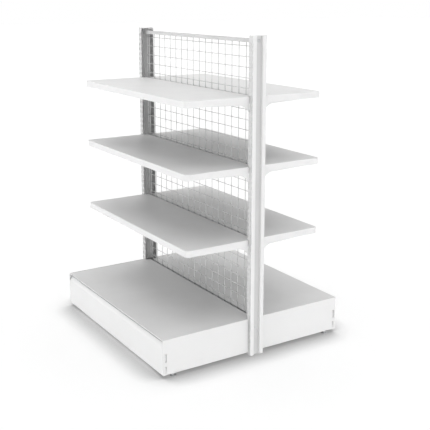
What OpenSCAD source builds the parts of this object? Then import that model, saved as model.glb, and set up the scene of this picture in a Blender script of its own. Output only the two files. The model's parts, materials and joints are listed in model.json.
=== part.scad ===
// Double-sided gondola shelving bay: two slotted uprights, a closed base, six shelves and a wire grid.
// Millimetres. X runs along the bay, Y across it, Z up. The origin is on the floor, under the middle.
// Every piece is drawn for the right end (+X) and the rear side (+Y), then mirrored to its own place.

/* [Bay] */
// Distance between the centre planes of the two uprights
bay_pitch = 1000; // [800:10:1250]
// Height of the steel of the uprights above the floor
upright_top = 1416; // [1300:1:1800]
// Clearance between pieces that seat on each other
seat_gap = 0.2; // [0.1:0.05:0.4]
// Clearance at each end of the pieces that drop in between two others
end_gap = 0.7; // [0.4:0.1:1.2]

/* [Upright section] */
// Width of the upright, seen from the end of the bay
upright_w = 70; // [60:1:90]
// Depth of the upright along the bay
upright_d = 30; // [28:1:40]
// Sheet thickness of the upright
upright_wall = 2; // [1.5:0.1:2.5]
// Outer bend radius of the upright
upright_bend = 3; // [2.6:0.1:4]
// Width of the groove in the outer face, at its mouth
groove_w = 32; // [20:1:34]
// Depth of the groove
groove_d = 11; // [6:0.5:12]
// Inward lean of each groove wall
groove_lean = 1.5; // [0:0.1:2]
// Radius of the two lips of the groove
groove_lip_r = 2.5; // [1:0.1:4]
// Clearance between the floor and the cut end of the upright
upright_lift = 3; // [2:0.5:5]
// Thickness of the plate in the upright that carries its foot
foot_plate_t = 6; // [4:0.5:8]
// Height of the underside of that plate above the floor
foot_plate_z = 30; // [28:1:31]

/* [Upright caps] */
// Thickness of the plate of a cap
cap_t = 3.5; // [2.5:0.5:5]
// Height and setback of the step round the top of a cap
cap_rim = 1; // [0.5:0.1:1.5]
// Depth that a cap plugs into its upright
cap_plug = 10; // [6:0.5:11]
// Wall thickness of the plug
cap_wall = 1.6; // [1.2:0.1:2.5]

/* [Slots] */
// Vertical pitch of the slots
slot_pitch = 25; // [22:1:30]
// Width of a slot
slot_w = 4; // [3.5:0.1:5]
// Height of a slot
slot_h = 15; // [14:0.5:17]
// Height of the middle of the lowest slot above the floor
slot_first_z = 35; // [33:1:38]
// Distance between the two slot columns on a face
column_gap = 16; // [14:0.5:17]
// Steel left above the highest slot
slot_top_land = 20; // [15:1:40]

/* [Hooks] */
// Sheet thickness of brackets and hook plates
hook_wall = 2.5; // [2:0.1:3]
// Height of a hook's neck where it passes through the slot
hook_neck = 6.8; // [6:0.1:7]
// Length that a hook hangs down behind the upright's face
hook_drop = 6.5; // [5:0.1:6.8]
// Thickness of the hanging part of a hook
hook_nose = 5.2; // [4:0.1:6]
// Number of slot pitches between the two hooks of a piece
hook_span = 2; // [1:1:2]

/* [Base] */
// Width of the base over both kick plates
base_w = 940; // [800:10:1200]
// Height of the base decks above the floor
deck_z = 175; // [170:1:180]
// Gap between the floor and the base panels
base_clear = 16; // [14:0.5:20]
// Sheet thickness of the base legs
leg_wall = 1.5; // [1.2:0.1:2]
// Width of the folded flanges of a base leg
leg_flange = 30; // [28:1:36]
// Height of the turned edges of those flanges
leg_turn = 14; // [8:1:20]
// Distance from the front of the base to the front flange of the leg
leg_setback = 14; // [12:1:18]
// Outer bend radius of the base sheets
leg_bend = 2.5; // [2.2:0.1:3]

/* [Kick plates] */
// Sheet thickness of the kick plates
kick_wall = 1.2; // [1:0.1:1.5]
// Height of the sloping strip along the top of a kick plate
kick_slope_h = 21; // [15:1:25]
// Depth that the sloping strip leans back
kick_slope_d = 11.5; // [8:0.5:12]
// Shadow gap between the kick plate and the deck surface
kick_gap = 18; // [12:0.5:20]
// Depth of the turned bottom edge and ends of a kick plate
kick_turn = 8; // [6:0.5:9]
// Length of the tongues that push into the legs
tongue_len = 16; // [12:1:25]
// Clearance between a tongue and its window
tongue_gap = 2; // [1:0.5:3]
// Width of the tongue windows in the side of a leg
window_w = 8; // [6:0.5:9]
// Height of the upper tongue window
upper_window_h = 38; // [30:1:40]
// Height of the middle of the upper tongue window above the floor
upper_window_z = 93; // [90:1:96]
// Height of the lower tongue window
lower_window_h = 30; // [20:1:32]
// Height of the middle of the lower tongue window above the floor
lower_window_z = 40; // [38:1:44]

/* [Base decks] */
// Sheet thickness of the decks
deck_sheet = 1.5; // [1.2:0.1:2]
// Depth of the turned edges of a deck
deck_lip = 29.8; // [26:0.1:34]
// Thickness of the front nosing of a deck
nosing_t = 3; // [2.5:0.5:5]
// Depth of the front nosing in front of the turned edge
nosing_d = 14; // [13:0.5:16]
// Clearance between decks, shelves and the middle plane of the bay
middle_gap = 6; // [5:0.5:9]
// Clearance between a sheet and the upright that it is notched around
notch_gap = 1.2; // [0.8:0.1:2]

/* [Shelves] */
// Distance from the middle plane to the front edge of a shelf
shelf_reach = 349; // [250:1:450]
// Sheet thickness of the shelves
shelf_sheet = 1.2; // [0.8:0.1:1.5]
// Depth of the turned edges of a shelf
shelf_lip = 28; // [22:1:32]
// Plan radius of the front corners of a shelf
shelf_corner_r = 18; // [12:1:30]
// Outer bend radius along the edges of a sheet
sheet_bend = 2.5; // [2.2:0.1:3]
// Depth of the turned rear edge of shelves and decks
rear_lip = 20; // [12:1:22]
// Width of the hem under the front edge of a shelf
shelf_hem = 9; // [5:1:14]
// Clearance between a shelf end and its bracket
bracket_gap = 0.6; // [0.4:0.1:1]
// Slot number that carries the lower shelves, counted from zero at the lowest slot
lower_slot = 20; // [16:1:22]
// Slot number that carries the middle shelves
middle_slot = 33; // [31:1:35]
// Slot number that carries the upper shelves
upper_slot = 45; // [43:1:46]
// Height of a shelf surface above the middle of the slot that carries it
shelf_rise = 5; // [4:0.5:6]

/* [Shelf stiffeners] */
// Width of the raised part of a stiffener
stiffener_w = 50; // [30:1:80]
// Height of a stiffener
stiffener_h = 16; // [10:1:20]
// Width of each spot-welded flange of a stiffener
stiffener_flange = 14; // [10:1:20]
// Clearance between the end of a stiffener and the bracket flange
stiffener_end_gap = 8; // [4:1:20]

/* [Brackets] */
// Height of a bracket at the upright
bracket_root_h = 62; // [60:1:70]
// Distance from the upright at which the lower edge levels out
bracket_knee = 60; // [40:1:80]
// Height of the arm at that distance
bracket_arm_h = 35; // [32:1:40]
// Height of the arm at its front end
bracket_tip_h = 25; // [20:1:30]
// Flat land at the lower end of the root
bracket_toe = 4; // [2:1:8]
// Inner bend radius of the turned-in flange
bracket_bend = 1; // [0.5:0.1:2]
// Distance by which an arm ends short of the front of the shelf
bracket_short = 42; // [28:1:100]
// Width of the turned-in top flange
bracket_flange = 12; // [8:0.5:16]

/* [Wire grid] */
// Wire diameter
wire_d = 3; // [2.5:0.1:4]
// Pitch of the upright wires
wire_pitch_x = 55; // [45:1:90]
// Pitch of the level wires
wire_pitch_z = 45; // [40:1:90]
// Depth that crossing wires are welded into each other
weld_sink = 0.3; // [0.2:0.05:0.6]
// Length that the grid reaches into the mouth of each upright
grid_entry = 6; // [3:0.5:8]

/* [Cross rails] */
// Sheet thickness of the rails
rail_wall = 1.5; // [1.2:0.1:2]
// Height of the top rail
top_rail_h = 16; // [15.5:0.5:22]
// Width of the top rail
top_rail_w = 20; // [19:0.5:30]
// Distance from the top of the uprights down to the top rail
top_rail_drop = 12; // [11:0.5:20]
// Height of the bottom rail
bottom_rail_h = 46; // [40:1:50]
// Width of the bottom rail
bottom_rail_w = 36; // [24:1:44]
// Shank diameter of the rail bolts
bolt_d = 8; // [6:0.5:8]
// Clearance of the bolts in their holes, on the diameter
bolt_play = 0.6; // [0.4:0.1:1]
// Length of a rail bolt past its nut
bolt_tail = 1.5; // [1:0.5:4]

/* [Levelling feet] */
// Diameter of the pads under the base legs
pad_d = 30; // [24:1:40]
// Diameter of the pads inside the uprights
upright_pad_d = 17; // [16:0.5:20]
// Clearance between those pads and the grooved wall beside them
pad_side_gap = 1; // [0.5:0.5:2]
// Thickness of a pad
pad_t = 6; // [5:0.5:8]
// Shank diameter of the feet
stud_d = 10; // [8:0.5:10]
// Length of the shank above its collar
stud_len = 45; // [35:1:60]
// Width across the flats of the foot collars
collar_af = 13; // [12.5:0.5:14]
// Distance from the front of the base to the middle of a foot
foot_inset = 55; // [45:1:90]
// Width across the flats of the foot nuts
nut_af = 16; // [15:0.5:17]
// Height of the foot nuts
nut_h = 8; // [6:0.5:8]
// Radial clearance of a shank in its nut
thread_gap = 0.1; // [0.05:0.05:0.2]
// Clearance of a shank in the hole of its plate, on the diameter
stud_play = 1; // [0.5:0.1:1.5]

/* [Hidden] */

$fn = 48;

// Length by which a cutting shape passes the face that it cuts
over = 1;

left = -1;
right = 1;
front = -1;
rear = 1;

steel_white = [0.93, 0.93, 0.93];
steel_grey = [0.62, 0.62, 0.63];
zinc = [0.72, 0.73, 0.74];
plastic_white = [0.86, 0.86, 0.86];

half_bay = bay_pitch / 2;
half_base = base_w / 2;
post_face_y = upright_w / 2;
post_inner_x = half_bay - upright_d / 2;
post_outer_x = half_bay + upright_d / 2;
groove_floor_x = post_outer_x - groove_d;
web_inner_x = groove_floor_x - upright_wall;

slot_count = floor((upright_top - slot_top_land - slot_h / 2 - slot_first_z) / slot_pitch) + 1;
slot_x = half_bay - column_gap / 2;

ledge_z = deck_z - deck_lip - seat_gap;
skin_x = half_bay - leg_wall;
leg_front_y = half_base - leg_setback;
leg_rear_y = post_face_y + seat_gap;

shelf_half = slot_x + hook_wall / 2 + bracket_gap + shelf_sheet;
shelf_depth = shelf_reach - middle_gap;
notch_x = post_inner_x - notch_gap;
notch_y = post_face_y + notch_gap;

top_rail_z = upright_top - top_rail_drop - top_rail_h;
bottom_rail_z = deck_z - rear_lip - seat_gap - bottom_rail_h;
rail_end_x = web_inner_x - seat_gap;
top_bolt_z = top_rail_z + top_rail_h / 2;
bottom_bolt_z = bottom_rail_z + bottom_rail_h / 2 - rail_wall;
bolt_head_r = bolt_d * 0.875;
bolt_head_h = bolt_d / 2;
bolt_nut_af = bolt_d * 1.5;
bolt_nut_h = bolt_d * 0.8;

leg_foot_x = half_bay - leg_flange / 2;
leg_foot_y = half_base - foot_inset;
upright_foot_x = web_inner_x - pad_side_gap - upright_pad_d / 2;

grid_bottom = bottom_rail_z + bottom_rail_h + seat_gap;
grid_top = top_rail_z + top_rail_h - rail_wall - seat_gap;
grid_half = post_inner_x + grid_entry;

// Drawing helpers. A side is 1 for right or rear and -1 for left or front.

module mirrored_to(x_side, y_side) {
    mirror([x_side < 0 ? 1 : 0, 0, 0])
        mirror([0, y_side < 0 ? 1 : 0, 0])
            children();
}

// Extrudes a shape given as (Y, Z) along X
module along_x(from, to) {
    translate([from, 0, 0]) rotate([90, 0, 90]) linear_extrude(to - from) children();
}

// Extrudes a shape given as (X, Z) along Y
module along_y(from, to) {
    translate([0, to, 0]) rotate([90, 0, 0]) linear_extrude(to - from) children();
}

// Rectangle from the origin whose far corner is rounded
module one_round(size_x, size_y, r) {
    square([size_x - r, size_y]);
    square([size_x, size_y - r]);
    translate([size_x - r, size_y - r]) circle(r);
}

// Section of a sheet that is bent down at its edge: its flat part is flat_w wide and the outer
// corner of the bend is at (0, 0)
module bent_edge(flat_w, drop, t, r) {
    difference() {
        translate([-flat_w, -drop]) one_round(flat_w, drop, r);
        translate([-flat_w - over, -drop - over])
            one_round(flat_w + over - t, drop + over - t, r - t);
    }
}

module slot_outline(w, h) {
    square([w, h - w], center = true);
    translate([0, (h - w) / 2]) circle(w / 2);
    translate([0, (w - h) / 2]) circle(w / 2);
}

function slot_z(number) = slot_first_z + number * slot_pitch;
function hook_rest(number) = slot_z(number) - slot_h / 2 + seat_gap;
function level_z(number) = slot_z(number) + shelf_rise;

// Uprights: a rolled channel that is open to the bay, with a groove down its outer face

// Plan outline of the upright, less inset on its three walled sides
module upright_outline(inset) {
    for (y_side = [-1, 1])
        mirror([0, y_side < 0 ? 1 : 0])
            translate([post_inner_x, 0])
                one_round(upright_d - inset, post_face_y - inset, max(upright_bend - inset, 0.4));
}

// Plan outline of the groove, grown on the sides that face the channel
module groove_outline(grow) {
    mouth = groove_w / 2 + grow;
    polygon([
        [post_outer_x + over, -mouth],
        [groove_floor_x - grow, -mouth + groove_lean],
        [groove_floor_x - grow, mouth - groove_lean],
        [post_outer_x + over, mouth]
    ]);
}

// What the rounding takes off the two lips of the groove. Each arc runs into the leaning wall and the face.
// The cut reaches a little into the groove, so that no thin skin is left between the two.
module groove_lip_cuts() {
    lean = groove_lean / (groove_d + over);
    stretch = sqrt(1 + lean * lean);
    mouth = groove_w / 2;
    center_x = post_outer_x - groove_lip_r;
    center_y = mouth - lean * (groove_lip_r + over) + groove_lip_r * stretch;
    start_x = center_x + groove_lip_r * lean / stretch;
    for (y_side = [-1, 1])
        mirror([0, y_side < 0 ? 1 : 0])
            difference() {
                polygon([
                    [start_x, mouth - lean * (post_outer_x + over - start_x) - over],
                    [post_outer_x + over, mouth - over],
                    [post_outer_x + over, center_y],
                    [start_x, center_y]
                ]);
                translate([center_x, center_y]) circle(groove_lip_r);
            }
}

module upright_hollow(play) {
    difference() {
        upright_outline(upright_wall + play);
        groove_outline(upright_wall + play);
    }
}

module upright_slots() {
    for (number = [0 : slot_count - 1], column = [-1, 1], y_side = [-1, 1])
        translate([half_bay + column * column_gap / 2, y_side * post_face_y, slot_z(number)])
            rotate([90, 0, 0])
                linear_extrude(3 * upright_wall, center = true) slot_outline(slot_w, slot_h);
}

module bolt_hole(z) {
    translate([web_inner_x - 2 * rail_wall, 0, z])
        rotate([0, 90, 0])
            cylinder(d = bolt_d + bolt_play, h = groove_d + 2 * rail_wall + upright_wall);
}

module upright(x_side) {
    color(steel_white)
        mirrored_to(x_side, 1) {
            difference() {
                translate([0, 0, upright_lift])
                    linear_extrude(upright_top - upright_lift)
                        difference() {
                            upright_outline(0);
                            upright_hollow(0);
                            groove_outline(0);
                            groove_lip_cuts();
                        }
                upright_slots();
                bolt_hole(top_bolt_z);
                bolt_hole(bottom_bolt_z);
            }
            difference() {
                translate([0, 0, foot_plate_z]) linear_extrude(foot_plate_t) upright_hollow(0);
                translate([upright_foot_x, 0, 0]) cylinder(d = stud_d + stud_play, h = 2 * foot_plate_z);
            }
        }
}

module upright_cap(x_side) {
    color(plastic_white)
        mirrored_to(x_side, 1) {
            translate([0, 0, upright_top]) {
                linear_extrude(cap_t - cap_rim) upright_outline(0);
                translate([0, 0, cap_t - cap_rim]) linear_extrude(cap_rim) upright_outline(cap_rim);
            }
            translate([0, 0, upright_top - cap_plug])
                linear_extrude(cap_plug)
                    difference() {
                        upright_hollow(seat_gap);
                        upright_outline(upright_wall + seat_gap + cap_wall);
                    }
        }
}

// Cross rails: channels open at the bottom, each closed by an end plate that is bolted to the groove

module cross_rail(w, h, z, bolt_z) {
    color(steel_white)
        difference() {
            for (x_side = [-1, 1])
                mirrored_to(x_side, 1) {
                    along_x(0, rail_end_x)
                        for (y_side = [-1, 1])
                            mirror([y_side < 0 ? 1 : 0, 0])
                                translate([w / 2, z + h]) bent_edge(w / 2, h, rail_wall, leg_bend);
                    along_x(rail_end_x - rail_wall, rail_end_x)
                        translate([leg_bend - w / 2, z]) square([w - 2 * leg_bend, h - rail_wall / 2]);
                }
            for (x_side = [-1, 1])
                mirrored_to(x_side, 1) bolt_hole(bolt_z);
        }
}

module top_rail() {
    cross_rail(top_rail_w, top_rail_h, top_rail_z, top_bolt_z);
}

module bottom_rail() {
    cross_rail(bottom_rail_w, bottom_rail_h, bottom_rail_z, bottom_bolt_z);
}

// Places a fastener at both ends of both rails, with its axis along X and its seat at x
module at_rail_ends(x) {
    for (x_side = [-1, 1], z = [bottom_bolt_z, top_bolt_z])
        mirrored_to(x_side, 1) translate([x, 0, z]) rotate([0, 90, 0]) children();
}

// Domed bolts with a hexagon socket, sunk in the groove of the upright
module rail_bolts() {
    dome_r = (bolt_head_r * bolt_head_r + bolt_head_h * bolt_head_h) / (2 * bolt_head_h);
    shank = groove_floor_x - rail_end_x + rail_wall + bolt_nut_h + bolt_tail;
    color(zinc)
        at_rail_ends(groove_floor_x) {
            difference() {
                rotate_extrude()
                    intersection() {
                        square([bolt_head_r, bolt_head_h]);
                        translate([0, bolt_head_h - dome_r]) circle(dome_r, $fn = 96);
                    }
                translate([0, 0, bolt_head_h / 2]) cylinder(d = bolt_d * 0.7, h = bolt_head_h, $fn = 6);
            }
            translate([0, 0, -shank]) cylinder(d = bolt_d, h = shank);
        }
}

module rail_nuts() {
    color(zinc)
        at_rail_ends(rail_end_x - rail_wall - bolt_nut_h)
            rotate([0, 0, 30]) hex_nut(bolt_nut_af, bolt_nut_h, bolt_d);
}

module hex_nut(af, h, shank_d) {
    difference() {
        cylinder(d = af / cos(30), h = h, $fn = 6);
        translate([0, 0, -over]) cylinder(r = shank_d / 2 + thread_gap, h = h + 2 * over);
    }
}

// Wire grid: level wires in front, upright wires behind, welded where they cross

module wire_grid() {
    layer_y = (wire_d - weld_sink) / 2;
    level_count = floor((grid_top - grid_bottom - wire_d) / wire_pitch_z) + 1;
    upright_count = floor(2 * (grid_half - wire_d) / wire_pitch_x) + 1;
    border_x = grid_half - wire_d / 2;
    color(steel_white) {
        for (i = [0 : level_count - 1])
            translate([-grid_half, -layer_y, grid_bottom + wire_d / 2 + i * wire_pitch_z])
                rotate([0, 90, 0]) cylinder(d = wire_d, h = 2 * grid_half);
        for (i = [0 : upright_count - 1])
            translate([(i - (upright_count - 1) / 2) * wire_pitch_x, layer_y, grid_bottom])
                cylinder(d = wire_d, h = grid_top - grid_bottom);
        for (x = [-border_x, border_x])
            translate([x, layer_y, grid_bottom]) cylinder(d = wire_d, h = grid_top - grid_bottom);
    }
}

// Hooks that pass through a slot and hang down behind the upright's face

module hook_outline(number) {
    back = post_face_y - upright_wall - seat_gap;
    tip = back - hook_nose;
    root = post_face_y + hook_wall / 2;
    cut = hook_nose / 4;
    rest = hook_rest(number);
    polygon([
        [root, rest],
        [back, rest],
        [back, rest - hook_drop + cut],
        [back - cut, rest - hook_drop],
        [tip + cut, rest - hook_drop],
        [tip, rest - hook_drop + cut],
        [tip, rest + hook_neck - 2 * cut],
        [tip + 2 * cut, rest + hook_neck],
        [root, rest + hook_neck]
    ]);
}

// Brackets: a hooked arm with a turned-in top flange and a hollow lower edge

module bracket_outline(top, number) {
    root = post_face_y + seat_gap;
    tip = shelf_reach - bracket_short;
    cut = bracket_tip_h / 4;
    edge = top - hook_wall - bracket_bend;
    union() {
        polygon([
            [root, edge],
            [tip, edge],
            [tip, top - bracket_tip_h + cut],
            [tip - cut, top - bracket_tip_h],
            [root, top - bracket_arm_h]
        ]);
        bracket_gusset(root, top - bracket_root_h, (bracket_arm_h - bracket_tip_h) / (tip - cut - root));
    }
    hook_outline(number);
    hook_outline(number - hook_span);
}

// The hollow lower edge: an arc from the toe that runs out into the sloping lower edge of the arm
module bracket_gusset(root, low, arm_slope) {
    run = bracket_knee - bracket_toe;
    rise = bracket_root_h - bracket_arm_h + (arm_slope * bracket_knee) + bracket_bend;
    hollow_r = (run * run + rise * rise) / (2 * rise);
    difference() {
        translate([root, low]) square([bracket_knee, rise + bracket_toe / 2]);
        translate([root + bracket_knee, low + rise - hollow_r]) circle(hollow_r, $fn = 180);
    }
}

module bracket(number, x_side, y_side) {
    top = level_z(number) - shelf_sheet - seat_gap;
    outer_x = slot_x + hook_wall / 2;
    bend = hook_wall + bracket_bend;
    color(steel_white)
        mirrored_to(x_side, y_side) {
            along_x(outer_x - hook_wall, outer_x) bracket_outline(top, number);
            along_y(post_face_y + bend, shelf_reach - bracket_short)
                translate([outer_x, top]) bent_edge(bracket_flange, 2 * bend, hook_wall, bend);
        }
}

// Base legs: a side skin with turned flanges, a ledge for the deck and a hooked plate at the rear

module leg_section() {
    middle = leg_flange / 2;
    translate([half_bay, base_clear])
        mirror([0, 1]) bent_edge(middle, deck_z - base_clear, leg_wall, leg_bend);
    translate([half_bay - leg_flange, base_clear])
        mirror([0, 1]) mirror([1, 0]) bent_edge(middle, leg_turn, leg_wall, leg_bend);
    translate([skin_x, ledge_z])
        bent_edge(middle, leg_turn, leg_wall, leg_bend);
    translate([half_bay - leg_flange, ledge_z])
        mirror([1, 0]) bent_edge(middle, leg_turn, leg_wall, leg_bend);
}

module tongue_window(z, h) {
    inner_x = skin_x - end_gap - kick_wall - tongue_gap;
    translate([inner_x, leg_front_y - window_w / 2, z - h / 2])
        cube([half_bay - inner_x + over, window_w, h]);
}

module base_leg(x_side, y_side) {
    flange_h = ledge_z - leg_wall / 2 - base_clear;
    color(steel_white)
        mirrored_to(x_side, y_side)
            difference() {
                union() {
                    along_y(leg_rear_y, leg_front_y) leg_section();
                    translate([skin_x, leg_front_y, base_clear])
                        cube([leg_wall, leg_setback, deck_z - base_clear]);
                    for (y = [leg_rear_y, leg_front_y - leg_wall])
                        translate([half_bay - leg_flange, y, base_clear])
                            cube([leg_flange - leg_wall / 2, leg_wall, flange_h]);
                    along_x(slot_x - hook_wall / 2, slot_x + hook_wall / 2) {
                        translate([leg_rear_y, base_clear]) square([2 * leg_turn, flange_h]);
                        hook_outline(1);
                        hook_outline(1 + hook_span);
                    }
                }
                tongue_window(upper_window_z, upper_window_h);
                tongue_window(lower_window_z, lower_window_h);
                translate([leg_foot_x, leg_foot_y, 0])
                    cylinder(d = stud_d + stud_play, h = base_clear + 2 * leg_wall);
            }
}

// Kick plates: a face with a sloping top strip, and tongues that push into the windows of the legs

module kick_outline() {
    slope_z = deck_z - kick_gap - kick_slope_h;
    slope_len = sqrt(kick_slope_h * kick_slope_h + kick_slope_d * kick_slope_d);
    slope_t = kick_wall * slope_len / kick_slope_h;
    translate([half_base, base_clear])
        mirror([0, 1]) bent_edge(kick_turn, slope_z - base_clear, kick_wall, sheet_bend);
    polygon([
        [half_base - kick_wall, slope_z],
        [half_base, slope_z],
        [half_base - kick_slope_d, slope_z + kick_slope_h],
        [half_base - kick_slope_d - slope_t, slope_z + kick_slope_h]
    ]);
}

module tongue(z, h) {
    low = z - h / 2 + seat_gap;
    translate([half_base - kick_turn - tongue_len, low])
        square([tongue_len + kick_turn / 2, h - seat_gap - 2 * tongue_gap]);
}

module kick_plate(y_side) {
    kick_half = skin_x - end_gap;
    face_h = deck_z - kick_gap - kick_slope_h - base_clear;
    color(steel_white)
        mirrored_to(1, y_side) {
            along_x(-kick_half, kick_half) kick_outline();
            for (x_side = [-1, 1])
                mirrored_to(x_side, 1)
                    along_x(kick_half - kick_wall, kick_half) {
                        translate([half_base - kick_turn, base_clear])
                            square([kick_turn - kick_wall / 2, face_h]);
                        tongue(upper_window_z, upper_window_h);
                        tongue(lower_window_z, lower_window_h);
                    }
        }
}

// Sheet trays: the flat field, the turned sides and the turned rear edge that decks and shelves share.
// The field is notched round the uprights. It ends at front_y, where each tray adds its own front.
module tray(half_len, front_y, top, sheet, lip) {
    strip = 2 * sheet_bend;
    translate([0, 0, top - sheet])
        linear_extrude(sheet)
            for (x_side = [-1, 1])
                mirror([x_side < 0 ? 1 : 0, 0])
                    polygon([
                        [0, middle_gap + sheet_bend],
                        [notch_x, middle_gap + sheet_bend],
                        [notch_x, notch_y],
                        [half_len - sheet_bend, notch_y],
                        [half_len - sheet_bend, front_y],
                        [0, front_y]
                    ]);
    for (x_side = [-1, 1])
        mirrored_to(x_side, 1)
            along_y(notch_y, front_y)
                translate([half_len, top]) bent_edge(strip, lip, sheet, sheet_bend);
    along_x(-notch_x, notch_x)
        translate([middle_gap, top]) mirror([1, 0]) bent_edge(strip, rear_lip, sheet, sheet_bend);
}

// Hat section that is welded under a tray
module hat_stiffener(half_len, middle_y, top, sheet) {
    crown = stiffener_w / 2;
    edge = crown + stiffener_flange;
    along_x(-half_len, half_len)
        translate([middle_y, top])
            polygon([
                [-edge, 0], [-crown + sheet, 0], [-crown + sheet, sheet - stiffener_h],
                [crown - sheet, sheet - stiffener_h], [crown - sheet, 0], [edge, 0],
                [edge, -sheet], [crown, -sheet], [crown, -stiffener_h],
                [-crown, -stiffener_h], [-crown, -sheet], [-edge, -sheet]
            ]);
}

// Base decks: a tray with a round front nosing over a turned edge that is set back

module base_deck(y_side) {
    deck_half = skin_x - end_gap;
    lip_y = half_base - nosing_d;
    color(steel_white)
        mirrored_to(1, y_side) {
            tray(deck_half, lip_y, deck_z, deck_sheet, deck_lip);
            along_x(-deck_half, deck_half) {
                translate([lip_y - sheet_bend, deck_z - deck_sheet]) square([2 * sheet_bend, deck_sheet]);
                translate([lip_y, deck_z - nosing_t]) square([nosing_d - nosing_t / 2, nosing_t]);
                translate([half_base - nosing_t / 2, deck_z - nosing_t / 2]) circle(d = nosing_t);
                translate([lip_y - deck_sheet, deck_z - deck_lip]) square([deck_sheet, deck_lip]);
            }
        }
}

module deck_stiffener(y_side) {
    color(steel_grey)
        mirrored_to(1, y_side)
            hat_stiffener(half_bay - leg_flange - stiffener_end_gap, (middle_gap + half_base) / 2,
                deck_z - deck_sheet, deck_sheet);
}

// Shelves: a tray whose turned edge runs round the front corners

module shelf(number, y_side) {
    top = level_z(number);
    corner_x = shelf_half - shelf_corner_r;
    corner_y = shelf_reach - shelf_corner_r;
    color(steel_white)
        mirrored_to(1, y_side) {
            tray(shelf_half, corner_y, top, shelf_sheet, shelf_lip);
            along_x(-corner_x, corner_x) {
                translate([shelf_reach, top])
                    bent_edge(shelf_corner_r + sheet_bend, shelf_lip, shelf_sheet, sheet_bend);
                translate([shelf_reach - shelf_hem, top - shelf_lip])
                    square([shelf_hem - shelf_sheet / 2, shelf_sheet]);
            }
            for (x_side = [-1, 1])
                mirrored_to(x_side, 1)
                    translate([corner_x, corner_y, top]) {
                        rotate_extrude(angle = 90)
                            translate([shelf_corner_r, 0])
                                bent_edge(2 * sheet_bend, shelf_lip, shelf_sheet, sheet_bend);
                        translate([0, 0, -shelf_sheet])
                            cylinder(r = shelf_corner_r - sheet_bend, h = shelf_sheet);
                    }
        }
}

module shelf_stiffener(number, y_side) {
    color(steel_grey)
        mirrored_to(1, y_side)
            hat_stiffener(slot_x + hook_wall / 2 - bracket_flange - stiffener_end_gap,
                (middle_gap + shelf_reach) / 2, level_z(number) - shelf_sheet, shelf_sheet);
}

// Levelling feet: a pad on the floor, a collar that is screwed up to its stop, and a shank

module levelling_foot(x, y, pad_width, stop_z) {
    rim = pad_t / 4;
    color(zinc)
        translate([x, y, 0]) {
            rotate_extrude()
                polygon([
                    [0, 0], [pad_width / 2 - rim, 0], [pad_width / 2, rim],
                    [pad_width / 2, pad_t / 2], [stud_d / 2 + rim, pad_t], [0, pad_t]
                ]);
            translate([0, 0, pad_t / 2]) {
                cylinder(d = collar_af / cos(30), h = stop_z - pad_t / 2, $fn = 6);
                cylinder(d = stud_d, h = stop_z + stud_len - pad_t / 2);
            }
        }
}

module leg_foot(x_side, y_side) {
    levelling_foot(x_side * leg_foot_x, y_side * leg_foot_y, pad_d, base_clear - seat_gap);
}

module upright_foot(x_side) {
    levelling_foot(x_side * upright_foot_x, 0, upright_pad_d, foot_plate_z - nut_h - seat_gap);
}

module foot_nuts() {
    color(zinc)
        for (x_side = [-1, 1]) {
            for (y_side = [-1, 1])
                translate([x_side * leg_foot_x, y_side * leg_foot_y, base_clear + leg_wall])
                    rotate([0, 0, 30]) hex_nut(nut_af, nut_h, stud_d);
            translate([x_side * upright_foot_x, 0, foot_plate_z - nut_h])
                rotate([0, 0, 30]) hex_nut(nut_af, nut_h, stud_d);
        }
}

upright(left);  // upright_left
upright(right);  // upright_right
upright_cap(left);  // upright_cap_left
upright_cap(right);  // upright_cap_right
top_rail();
bottom_rail();
rail_bolts();
rail_nuts();
wire_grid();
base_leg(left, front);  // base_leg_front_left
base_leg(right, front);  // base_leg_front_right
base_leg(left, rear);  // base_leg_rear_left
base_leg(right, rear);  // base_leg_rear_right
kick_plate(front);  // kick_plate_front
kick_plate(rear);  // kick_plate_rear
base_deck(front);  // base_deck_front
base_deck(rear);  // base_deck_rear
deck_stiffener(front);  // deck_stiffener_front
deck_stiffener(rear);  // deck_stiffener_rear
bracket(lower_slot, left, front);  // bracket_lower_front_left
bracket(lower_slot, right, front);  // bracket_lower_front_right
bracket(lower_slot, left, rear);  // bracket_lower_rear_left
bracket(lower_slot, right, rear);  // bracket_lower_rear_right
bracket(middle_slot, left, front);  // bracket_middle_front_left
bracket(middle_slot, right, front);  // bracket_middle_front_right
bracket(middle_slot, left, rear);  // bracket_middle_rear_left
bracket(middle_slot, right, rear);  // bracket_middle_rear_right
bracket(upper_slot, left, front);  // bracket_upper_front_left
bracket(upper_slot, right, front);  // bracket_upper_front_right
bracket(upper_slot, left, rear);  // bracket_upper_rear_left
bracket(upper_slot, right, rear);  // bracket_upper_rear_right
shelf(lower_slot, front);  // shelf_lower_front
shelf(lower_slot, rear);  // shelf_lower_rear
shelf(middle_slot, front);  // shelf_middle_front
shelf(middle_slot, rear);  // shelf_middle_rear
shelf(upper_slot, front);  // shelf_upper_front
shelf(upper_slot, rear);  // shelf_upper_rear
shelf_stiffener(lower_slot, front);  // stiffener_lower_front
shelf_stiffener(lower_slot, rear);  // stiffener_lower_rear
shelf_stiffener(middle_slot, front);  // stiffener_middle_front
shelf_stiffener(middle_slot, rear);  // stiffener_middle_rear
shelf_stiffener(upper_slot, front);  // stiffener_upper_front
shelf_stiffener(upper_slot, rear);  // stiffener_upper_rear
leg_foot(left, front);  // foot_front_left
leg_foot(right, front);  // foot_front_right
leg_foot(left, rear);  // foot_rear_left
leg_foot(right, rear);  // foot_rear_right
upright_foot(left);  // foot_upright_left
upright_foot(right);  // foot_upright_right
foot_nuts();
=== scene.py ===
"""Looks of a double-sided gondola shelving bay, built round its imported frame.

The sheet-metal pieces keep the frame's own meshes and get their finishes here. The turned and threaded
pieces, such as feet, bolts and nuts, are modelled again with their threads and chamfers. Lengths are in
metres. A side is 1 for right or rear and -1 for left or front.
"""

import json
import math

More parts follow.
